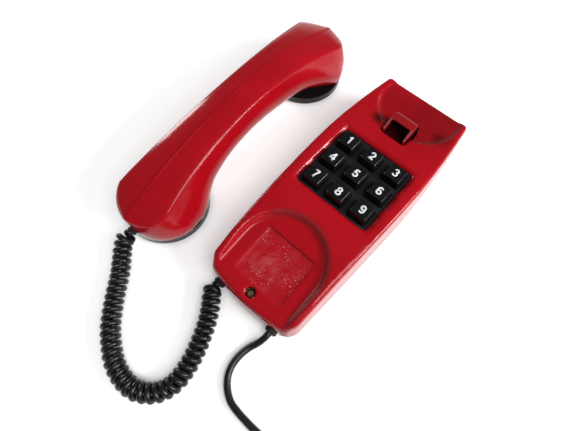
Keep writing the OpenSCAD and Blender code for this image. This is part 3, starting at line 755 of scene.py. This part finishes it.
def widen_keypad_opening(cover, funnel):
    """Cuts the sloping walls round the keypad back, so that they lean further out."""
    low, high = corners("keypad_frame")
    width, length = (high.x - low.x) - FRAME_LAP, (high.y - low.y) - FRAME_LAP
    rise = DECK_Z - high.z + 1 * MM
    spread = funnel * rise / (DECK_Z - high.z)
    half = math.sqrt(0.5)
    bpy.ops.object.select_all(action="DESELECT")
    bpy.ops.mesh.primitive_cone_add(vertices=4, radius1=width * half,
                                    radius2=(width + 2 * spread) * half, depth=rise,
                                    rotation=(0, 0, math.pi / 4))
    cutter = bpy.context.object
    bpy.ops.object.transform_apply(location=False, rotation=True, scale=False)
    cutter.scale = (1, length / width, 1)
    cutter.location = (0, (low.y + high.y) / 2, high.z + rise / 2)
    apply(cover, "BOOLEAN", object=cutter, operation="DIFFERENCE", solver="EXACT")
    bpy.data.objects.remove(cutter)


class TELEPHONE_OT_finish_shells(bpy.types.Operator):
    """Red gloss on the cover, the handset and the hook lever"""

    bl_idname = "telephone.finish_shells"
    bl_label = "Finish the Shells"

    def execute(self, context):
        finish = context.scene.telephone_finish
        cover = merged_copy("top_cover", "cover_skin")
        widen_keypad_opening(cover, finish.funnel)
        soften(cover, finish.cover_grid, COVER_PASSES)
        handset = merged_copy("handset_shell", "handset_skin")
        bpy.ops.object.shade_smooth_by_angle(angle=math.radians(40))
        lever = merged_copy("hook_lever", "lever_skin")
        soften(lever, finish.lever_grid, LEVER_PASSES)
        wear(cover_material(finish), cover.name)
        wear(lever_material(finish), lever.name)
        wear(glossy("red_gloss_shell", red_gloss(finish, smudge=0.05, dust=0.08),
                    finish.peel), handset.name)
        return {"FINISHED"}


class TELEPHONE_OT_finish_keys(bpy.types.Operator):
    """Black gloss on the keys and on the caps of the handset"""

    bl_idname = "telephone.finish_keys"
    bl_label = "Finish the Keys and Caps"

    def execute(self, context):
        finish = context.scene.telephone_finish
        shade = toned(finish.black, 1.8)
        key_finish = glossy("black_key", gloss(
            finish.black, shade, roughness=0.24, smudge=0.12, dust=0.25), finish.peel)
        for key in KEYS:
            top = merged_copy(key, key + "_skin")
            apply(top, "BEVEL", width=finish.key_edge, segments=3, limit_method="ANGLE",
                  angle_limit=math.radians(30))
            bpy.ops.object.shade_smooth_by_angle(angle=math.radians(35))
            wear(key_finish, top.name)
        wear(glossy("black_gloss_cap", gloss(
            finish.black, shade, roughness=0.2, smudge=0.15, dust=0.2), finish.peel),
             "ear_cap", "mouth_cap")
        return {"FINISHED"}


# ---- fittings and inner parts ----

# How far above the mat's sheet the domes are cut off
CUT_LIFT = 0.05 * MM


class TELEPHONE_OT_finish_fittings(bpy.types.Operator):
    """Matt black mouldings, rubber, screws and the small metal parts"""

    bl_idname = "telephone.finish_fittings"
    bl_label = "Finish the Fittings"

    def execute(self, context):
        wear(grained("black_moulding", (0.004, 0.004, 0.0045, 1), (0.008, 0.008, 0.009, 1),
                     scale=1400, roughness=0.5), "keypad_frame", "base_plate", "coil_tie")
        wear(grained("black_rubber", (0.010, 0.010, 0.010, 1), (0.022, 0.021, 0.020, 1),
                     scale=1000, roughness=0.6, depth=0.03 * MM),
             "rubber_feet", "line_grommet", "coil_cord_grommet", "handset_grommet")
        squeeze_spring()
        wear(metallic("brass_screw", (0.42, 0.27, 0.13, 1), (0.12, 0.07, 0.035, 1), 0.35),
             "cover_screw", "terminal_screws")
        wear(metallic("zinc_steel", (0.60, 0.61, 0.62, 1), (0.34, 0.33, 0.31, 1), 0.28),
             "base_screws", "board_screws", "hook_pin", "spring_wire", "ballast_plate",
             "receiver_capsule")
        return {"FINISHED"}


def squeeze_spring():
    """A smooth-shaded copy of the hook spring, which stands for it."""
    spring = merged_copy("hook_spring", "spring_wire")
    bpy.ops.object.shade_smooth_by_angle(angle=math.radians(70))
    low, high = corners("hook_spring")
    drop = (high.y - middle("hook_pin").y) * math.sin(HOOK_TURN)
    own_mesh(spring)


def cut_level(piece, height, above):
    """Keeps what lies above the height, or below it, and closes the cut."""
    edit_all(piece)
    bpy.ops.mesh.bisect(plane_co=(0, 0, height), plane_no=(0, 0, 1), use_fill=True,
                        clear_inner=above, clear_outer=not above, threshold=0.001 * MM)
    bpy.ops.object.mode_set(mode="OBJECT")


def loosen_domes():
    """Parts the rubber mat from its nine domes, each named after the key over it."""
    low, high = corners("dome_mat")
    level = low.z + MAT_THICK + CUT_LIFT
    sheet = merged_copy("dome_mat", "mat_sheet")
    cut_level(sheet, level, above=False)
    domes = merged_copy("dome_mat", "dome")
    cut_level(domes, level, above=True)
    edit_all(domes)
    bpy.ops.mesh.separate(type="LOOSE")
    bpy.ops.object.mode_set(mode="OBJECT")
    names = ["mat_sheet"]
    for dome in list(bpy.context.selected_objects):
        places = [v.co for v in dome.data.vertices]
        place = sum(places, Vector()) / len(places)
        key = min(KEYS, key=lambda k: (middle(k).xy - place.xy).length)
        dome.name = dome.data.name = key + "_dome"
        names.append(dome.name)
        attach(dome, body_of(sheet)[0])
        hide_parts("dome_mat")
        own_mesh(dome)
    return names


class TELEPHONE_OT_finish_inner_parts(bpy.types.Operator):
    """Finishes of the parts inside the base and the handset"""

    bl_idname = "telephone.finish_inner_parts"
    bl_label = "Finish the Inner Parts"

    def execute(self, context):
        wear(grained("grey_silicone", (0.19, 0.20, 0.21, 1), (0.25, 0.26, 0.27, 1),
                     scale=500, roughness=0.55), *loosen_domes())
        wear(grained("green_laminate", (0.015, 0.10, 0.035, 1), (0.025, 0.16, 0.055, 1),
                     scale=320, roughness=0.32), "main_board")
        wear(grained("chip_moulding", (0.012, 0.012, 0.013, 1), (0.03, 0.03, 0.03, 1),
                     scale=2200, roughness=0.6), "tone_chip", "ringer", "hook_switch")
        wear(grained("varnished_core", (0.035, 0.036, 0.04, 1), (0.07, 0.06, 0.05, 1),
                     scale=600, roughness=0.38, depth=0.04 * MM), "line_transformer")
        wear(grained("sleeved_can", (0.012, 0.016, 0.035, 1), (0.02, 0.026, 0.05, 1),
                     scale=300, roughness=0.3, depth=0.01 * MM), "capacitors")
        wear(grained("cream_moulding", (0.52, 0.47, 0.34, 1), (0.60, 0.56, 0.44, 1),
                     scale=700, roughness=0.42), "terminal_block")
        wear(metallic("capsule_tin", (0.50, 0.50, 0.48, 1), (0.30, 0.28, 0.25, 1), 0.34),
             "transmitter_capsule")
        return {"FINISHED"}


# ---- numerals ----

STROKE_LIFT = 0.008 * MM
CLOSED_GAP = 0.001  # of the numeral's height


def arc(x, y, rx, ry, start, end, steps=14):
    """Points of an elliptic arc, from start to end in degrees."""
    turned = [math.radians(start + (end - start) * k / steps) for k in range(steps + 1)]
    return [(x + rx * math.cos(a), y + ry * math.sin(a)) for a in turned]


def strokes(numeral):
    """Pen strokes of a numeral that is 1 high, as lists of points."""
    six = [arc(0.34, 0.325, 0.225, 0.225, 90, 450, 24),
           arc(0.355, 0.60, 0.24, 0.30, 38, 180) + [(0.115, 0.33)]]
    return {
        1: [[(0.38, 0), (0.38, 1)], [(0.12, 0.745), (0.26, 0.765), (0.36, 0.85)]],
        2: [arc(0.33, 0.665, 0.225, 0.235, 172, -28) + [(0.17, 0.17), (0.12, 0.02)],
            [(0.06, 0.1), (0.60, 0.1)]],
        3: [arc(0.32, 0.715, 0.195, 0.185, 165, -90), arc(0.32, 0.32, 0.225, 0.22, 90, -168)],
        4: [[(0.48, 0), (0.48, 1)], [(0.0, 0.28), (0.68, 0.28)], [(0.44, 0.93), (0.07, 0.32)]],
        5: [[(0.16, 0.9), (0.58, 0.9)], [(0.20, 0.93), (0.15, 0.45)],
            arc(0.33, 0.335, 0.23, 0.235, 145, -165)],
        6: six,
        7: [[(0.05, 0.9), (0.60, 0.9)], [(0.55, 0.93), (0.40, 0.62), (0.30, 0.32), (0.25, 0)]],
        8: [arc(0.34, 0.715, 0.20, 0.19, 90, 450, 24), arc(0.34, 0.305, 0.25, 0.21, 90, 450, 24)],
        9: [[(0.68 - x, 1 - y) for x, y in stroke] for stroke in six],
    }[numeral]


def pen_profile(width, thickness):
    """A flat rectangle that the strokes are swept with."""
    profile = bpy.data.curves.new("pen", "CURVE")
    half = width / 2
    add_line(profile, [(-half, 0, 0), (half, 0, 0), (half, thickness, 0), (-half, thickness, 0)],
             closed=True)
    return linked("pen", profile)


def draw_numeral(key, sizes, pen):
    """The key's numeral as a raised print on its top; strokes that cross differ in height."""
    numeral = int(key[-1])
    data = bpy.data.curves.new(f"numeral_{numeral}", "CURVE")
    data.dimensions = "3D"
    data.twist_mode = "Z_UP"
    data.bevel_mode = "OBJECT"
    data.bevel_object = pen
    data.use_fill_caps = True
    for order, stroke in enumerate(strokes(numeral)):
        closed = math.dist(stroke[0], stroke[-1]) < CLOSED_GAP
        places = [(x * sizes.height, y * sizes.height, order * STROKE_LIFT) for x, y in stroke]
        add_line(data, places[:-1] if closed else places, closed)
    printed = made_mesh(linked(data.name, data))
    edit_all(printed)
    bpy.ops.mesh.remove_doubles(threshold=0.001 * MM)
    bpy.ops.mesh.normals_make_consistent(inside=False)
    bpy.ops.object.mode_set(mode="OBJECT")
    settle(printed, middle(key), corners(key)[1].z)
    return printed


class TELEPHONE_OT_add_numerals(bpy.types.Operator):
    """Prints the numerals 1 to 9 on the key tops"""

    bl_idname = "telephone.add_numerals"
    bl_label = "Add the Numerals"

    def execute(self, context):
        sizes = context.scene.telephone_numerals
        white = context.scene.telephone_finish.print_white
        ink = grained("white_print", white, toned(white, 0.86),
                      scale=900, roughness=0.4, depth=0.01 * MM)
        pen = pen_profile(sizes.stroke, sizes.ink)
        for key in KEYS:
            printed = draw_numeral(key, sizes, pen)
            wear(ink, printed.name)
            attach(printed, key)
        bpy.data.objects.remove(pen)
        return {"FINISHED"}


# ---- cords ----

CURLY_ROUTE_MM = [
    (-92.57, -114.33, 10.6), (-92.43, -117.32, 10.6), (-92.5, -119.6, 9.4),
    (-89.2, -125, 8), (-84, -130.7, 6.6), (-76.2, -138.5, 6.6), (-68.7, -147.9, 6.6),
    (-61, -156.6, 6.6), (-53.4, -164.1, 6.6), (-44, -170.6, 6.6), (-34.7, -175.5, 6.6),
    (-24.5, -177.7, 6.6), (-14.9, -177.1, 6.6), (-7.2, -173.1, 6.6), (-1.5, -166.6, 6.6),
    (1, -157.9, 6.6), (0.2, -148.8, 6.6), (-2.3, -139.3, 6.6), (-6.1, -129.8, 6.6),
    (-10.7, -120.6, 6.6), (-16.3, -112.2, 6.6), (-22.6, -104.7, 6.6),
    (-23.1, -101.2, 6.6), (-23.1, -98.9, 6.6)]

LINE_ROUTE_MM = [
    (23.1, -93.2, 6.6), (23.1, -99.7, 6.6), (22.9, -103.2, 5.6), (21.6, -108.4, 3.7),
    (19.6, -113.4, 2.35), (18.3, -120.6, 2.35), (18.9, -128.1, 2.35), (21.5, -134.4, 2.35),
    (26.4, -139.7, 2.35), (32.8, -143.3, 2.35), (40, -144.4, 2.35), (47.7, -144.6, 2.35),
    (56, -144.4, 2.35), (64.2, -143.2, 2.35), (72, -140.6, 2.35)]

# The helix of the curly cord: steps between the points of its route, points to a curl, and
# curls over which it opens at each end
CURLY_STEPS = 12
CURL_STEPS = 20
OPENING_CURLS = 0.6

# The coil of the line cord: a turn moves over to the next one in the last part of its round
COIL_CENTRE = Vector((96 * MM, -164.5 * MM, 0))
COIL_START_ANGLE = math.radians(122.3)
COIL_RADII = [31.5 * MM, 27 * MM, 22.5 * MM]
COIL_LAYERS = 4
COIL_LIFT = 0.1 * MM
COIL_STEPS = 28
ROUND_SHARE = 0.82

# The tail on top of the coil, which ends in the plug
TAIL_RADIUS = COIL_RADII[1] + 1 * MM
TAIL_ANGLES = (100, 75, 50, 25, 0, -22, -43, -60)
PLUG_ENTRY_HEIGHT = 2.4 * MM
PLUG_LEAD_IN = Vector((6 * MM, 0.8 * MM, 0))
LINE_STEPS = 5
TAIL_STEPS = 4


def smooth_line(points, steps):
    """Catmull-Rom line through the points."""
    line = []
    for i in range(len(points) - 1):
        a, b = points[max(i - 1, 0)], points[i]
        c, d = points[i + 1], points[min(i + 2, len(points) - 1)]
        for k in range(steps):
            t = k / steps
            line.append(0.5 * (2 * b + (c - a) * t + (2 * a - 5 * b + 4 * c - d) * t * t
                               + (3 * b - a - 3 * c + d) * t ** 3))
    return line + [points[-1]]


def evenly(line, count):
    """The line again as count + 1 points at even steps along it."""
    reach = [0.0]
    for a, b in zip(line, line[1:]):
        reach.append(reach[-1] + (b - a).length)
    points, i = [], 0
    for k in range(count + 1):
        want = reach[-1] * k / count
        while i < len(line) - 2 and reach[i + 1] < want:
            i += 1
        span = max(reach[i + 1] - reach[i], 1e-9)
        points.append(line[i].lerp(line[i + 1], min((want - reach[i]) / span, 1)))
    return points


def metres(route):
    """A route in millimetres as points in metres."""
    return [Vector(p) * MM for p in route]


def ease(t):
    """Goes smoothly from 0 to 1, and stays there."""
    t = min(max(t, 0.0), 1.0)
    return t * t * (3 - 2 * t)


def wire_curve(name, line, diameter):
    """A round wire along the line, as a curve."""
    data = bpy.data.curves.new(name, "CURVE")
    data.dimensions = "3D"
    data.bevel_depth = diameter / 2
    data.bevel_resolution = 3
    data.use_fill_caps = True
    add_line(data, line)
    return linked(name, data)


def helix_round(axis, turns, radius, tail):
    """Points of a helix round the axis line, whose radius grows from and shrinks to its ends."""
    across = Vector((0, 0, 1))
    points, count = [], len(axis) - 1
    for i, place in enumerate(axis):
        along = (axis[min(i + 1, count)] - axis[max(i - 1, 0)]).normalized()
        across = (across - along * across.dot(along)).normalized()
        side = along.cross(across)
        share = i / count
        angle = 2 * math.pi * turns * share
        reach = radius * ease(share / tail) * ease((1 - share) / tail)
        points.append(place + reach * (math.cos(angle) * across + math.sin(angle) * side))
    return points


def cord_material(finish):
    """Smooth black jacket of the cords, with a trace of dust."""
    return glossy("cord_jacket", gloss(
        finish.cord, toned(finish.cord, 1.7), roughness=0.26, smudge=0.14, dust=0.5), 0.01 * MM)


class TELEPHONE_OT_add_curly_cord(bpy.types.Operator):
    """Curls the handset cord from the base to the handset"""

    bl_idname = "telephone.add_curly_cord"
    bl_label = "Add the Curly Cord"

    def execute(self, context):
        sizes = context.scene.telephone_cords
        route = smooth_line(metres(CURLY_ROUTE_MM), CURLY_STEPS)
        axis = evenly(route[::-1], CURL_STEPS * sizes.curls)
        radius = (sizes.curly_outside - sizes.curly_wire) / 2
        line = helix_round(axis, sizes.curls, radius, OPENING_CURLS / sizes.curls)
        cord = made_mesh(wire_curve("curly_wire", line, sizes.curly_wire))
        bpy.ops.object.shade_smooth()
        wear(cord_material(context.scene.telephone_finish), cord.name)
        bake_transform(cord, "base", "handset", start=axis[0], end=axis[-1])
        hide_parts("curly_cord")
        return {"FINISHED"}


def coil_point(angle, radius, height):
    """A point round the middle of the coil."""
    return COIL_CENTRE + Vector((radius * math.cos(angle), radius * math.sin(angle), height))


def coil_line(diameter):
    """Turns of the coil, laid in from the outside, up a layer, and out again."""
    turns = []
    for layer in range(COIL_LAYERS):
        for radius in COIL_RADII if layer % 2 == 0 else COIL_RADII[::-1]:
            turns.append((radius, diameter * (layer + 0.5) + COIL_LIFT))
    turns.append((TAIL_RADIUS, turns[-1][1] + diameter))
    line = []
    for k, (here, there) in enumerate(zip(turns, turns[1:])):
        for step in range(COIL_STEPS):
            share = step / COIL_STEPS
            shift = ease((share - ROUND_SHARE) / (1 - ROUND_SHARE))
            line.append(coil_point(COIL_START_ANGLE - 2 * math.pi * (k + share),
                                   here[0] + (there[0] - here[0]) * shift,
                                   here[1] + (there[1] - here[1]) * shift))
    return line


def plug_tail(start):
    """Points from the end of the coil's last turn, over the coil and straight into the plug."""
    low, high = corners("line_plug")
    entry = Vector((high.x, (low.y + high.y) / 2, low.z + PLUG_ENTRY_HEIGHT))
    over = [coil_point(math.radians(angle), TAIL_RADIUS, start.z) for angle in TAIL_ANGLES]
    return [start, *over, entry + PLUG_LEAD_IN, entry]


def line_cord_line(diameter):
    """The whole line cord: from the base to the coil, round it, and to the plug."""
    coil = coil_line(diameter)
    # The last stretch lies on the coil and only sets the direction in which the run meets it
    run = smooth_line(metres(LINE_ROUTE_MM) + coil[:2], LINE_STEPS)[:-LINE_STEPS - 1]
    return run + coil + smooth_line(plug_tail(coil[-1]), TAIL_STEPS)[1:]


class TELEPHONE_OT_add_line_cord(bpy.types.Operator):
    """Lays the line cord from the base to its coil and its plug"""

    bl_idname = "telephone.add_line_cord"
    bl_label = "Add the Line Cord"

    def execute(self, context):
        sizes = context.scene.telephone_cords
        line = line_cord_line(sizes.line_wire)
        cord = wire_curve("line_wire", line, sizes.line_wire)
        wear(cord_material(context.scene.telephone_finish), cord.name)
        wear(plug_material(), "line_plug")
        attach(cord, "base")
        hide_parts("line_cord", "line_cord_coil")
        return {"FINISHED"}


def plug_material():
    """Clear moulded plastic of the plug, seen as a pale smoky body."""
    return surfaced("clear_plug", {"Transmission Weight": 0.55, "IOR": 1.49}, grain_group, {
        "Color": (0.62, 0.66, 0.68, 1), "Tone": (0.72, 0.75, 0.77, 1),
        "Scale": 500.0, "Roughness": 0.08}, 0.01 * MM)


# ---- studio ----


def lamp(name, place, aim, size, power):
    """A rectangular lamp that shines from its place at its aim."""
    data = bpy.data.lights.new(name, "AREA")
    data.shape = "RECTANGLE"
    data.size, data.size_y = size
    data.energy = power
    made = linked(name, data)
    made.location = place
    made.rotation_euler = (Vector(aim) - Vector(place)).to_track_quat("-Z", "Y").to_euler()


class TELEPHONE_OT_add_studio(bpy.types.Operator):
    """Camera, floor, lamps and the pale room"""

    bl_idname = "telephone.add_studio"
    bl_label = "Add the Studio"

    def execute(self, context):
        studio = context.scene.telephone_studio
        self.add_camera(context, studio)
        self.add_floor(studio)
        lamp("top_lamp", place=(0.55, -0.10, 0.95), aim=(-0.03, 0, 0.02),
             size=(0.6, 0.6), power=studio.top_lamp)
        lamp("window_lamp", place=(1.0, 0.42, 0.70), aim=(0, 0, 0.03),
             size=(0.6, 0.24), power=studio.key_lamp)
        lamp("left_window", place=(-1.1, 0.09, 0.31), aim=(-0.05, 0, 0.03),
             size=(0.34, 0.38), power=studio.left_lamp)
        self.light_room(context, studio)
        context.scene.view_settings.view_transform = "Standard"
        return {"FINISHED"}

    def add_camera(self, context, studio):
        """A camera at the settings' place and angles."""
        data = bpy.data.cameras.new("camera")
        data.lens = studio.lens
        data.sensor_width = 36
        data.sensor_fit = "HORIZONTAL"
        data.clip_start = 0.01
        camera = linked("camera", data)
        turn = (Matrix.Rotation(studio.azimuth, 4, "Z")
                @ Matrix.Rotation(math.pi / 2 - studio.elevation, 4, "X")
                @ Matrix.Rotation(studio.roll, 4, "Z"))
        camera.matrix_world = Matrix.Translation(studio.place) @ turn
        context.scene.camera = camera

    def add_floor(self, studio):
        """White paper, which looks whiter to the camera where nothing stands near it."""
        bpy.ops.object.select_all(action="DESELECT")
        bpy.ops.mesh.primitive_plane_add(size=studio.floor_size)
        floor = bpy.context.object
        floor.name = "floor"
        material, tree, shader = new_material("white_floor", {
            "Roughness": 0.9, "Specular IOR Level": 0.1, "Emission Color": (1, 1, 1, 1)})
        paper = ramp(tree, noise(tree, object_vector(tree), 3, 2), 0.3, 0.7)
        open_floor = add(tree, "ShaderNodeAmbientOcclusion", {"Distance": 5 * MM},
                         samples=8).outputs["AO"]
        lift = times(tree, seen_directly(tree), open_floor, studio.floor_lift)
        feed(shader, {"Base Color": mix(tree, paper, (0.80, 0.80, 0.80, 1),
                                        (0.84, 0.84, 0.84, 1)), "Emission Strength": lift})
        wear(material, floor.name)

    def light_room(self, context, studio):
        """A dim room over a white horizon, which lights nothing but shows in gloss."""
        world = bpy.data.worlds.new("pale_room")
        context.scene.world = world
        world.use_nodes = True
        tree = world.node_tree
        tree.nodes.clear()
        direction = tree.nodes.new("ShaderNodeTexCoord").outputs["Generated"]
        horizon = ramp(tree, axes(tree, direction)["Z"], 0.03, 0.12, 1.0, 0.0)
        room = add(tree, "ShaderNodeBackground", {"Color": (0.97, 0.98, 1, 1),
                                                  "Strength": studio.ambient})
        white = add(tree, "ShaderNodeBackground", {"Color": (1, 1, 1, 1)})
        both = add(tree, "ShaderNodeMixShader", {
            0: times(tree, seen_directly(tree), horizon),
            1: room.outputs[0], 2: white.outputs[0]})
        add(tree, "ShaderNodeOutputWorld", {"Surface": both.outputs[0]})


def seen_directly(tree):
    """1 for rays from the camera, from gloss and through glass, and 0 for diffuse light."""
    path = tree.nodes.new("ShaderNodeLightPath").outputs
    return plus(tree, path["Is Camera Ray"], path["Is Glossy Ray"],
                path["Is Transmission Ray"], clamp=True)


# ---- panel and registration ----

OPERATORS = [
    TELEPHONE_OT_add_studio, TELEPHONE_OT_add_curly_cord, TELEPHONE_OT_add_line_cord,
    TELEPHONE_OT_finish_shells, TELEPHONE_OT_finish_keys, TELEPHONE_OT_finish_fittings,
    TELEPHONE_OT_finish_inner_parts, TELEPHONE_OT_add_numerals]
GROUPS_OF_SETTINGS = {
    "telephone_finish": TelephoneFinish, "telephone_numerals": TelephoneNumerals,
    "telephone_cords": TelephoneCords, "telephone_studio": TelephoneStudio}


class TELEPHONE_PT_dressing(bpy.types.Panel):
    """Lists the steps that dress the telephone, with their settings"""

    bl_label = "Telephone"
    bl_idname = "TELEPHONE_PT_dressing"
    bl_space_type = "VIEW_3D"
    bl_region_type = "UI"
    bl_category = "Telephone"

    def draw(self, context):
        for operator in OPERATORS:
            self.layout.operator(operator.bl_idname)
        for name in GROUPS_OF_SETTINGS:
            settings = getattr(context.scene, name)
            box = self.layout.box()
            for prop in settings.bl_rna.properties:
                if prop.identifier not in ("rna_type", "name"):
                    box.prop(settings, prop.identifier)


def register():
    for name, group in GROUPS_OF_SETTINGS.items():
        bpy.utils.register_class(group)
        setattr(bpy.types.Scene, name, PointerProperty(type=group))
    for cls in [*OPERATORS, TELEPHONE_PT_dressing]:
        bpy.utils.register_class(cls)


def unregister():
    for cls in reversed([*OPERATORS, TELEPHONE_PT_dressing]):
        bpy.utils.unregister_class(cls)
    for name, group in GROUPS_OF_SETTINGS.items():
        delattr(bpy.types.Scene, name)
        bpy.utils.unregister_class(group)


def main():
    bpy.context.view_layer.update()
    register()
    bpy.ops.telephone.add_studio()
    bpy.ops.telephone.add_curly_cord()
    bpy.ops.telephone.add_line_cord()
    bpy.ops.telephone.finish_shells()
    bpy.ops.telephone.finish_keys()
    bpy.ops.telephone.finish_fittings()
    bpy.ops.telephone.finish_inner_parts()
    bpy.ops.telephone.add_numerals()


if __name__ == "__main__":
    main()
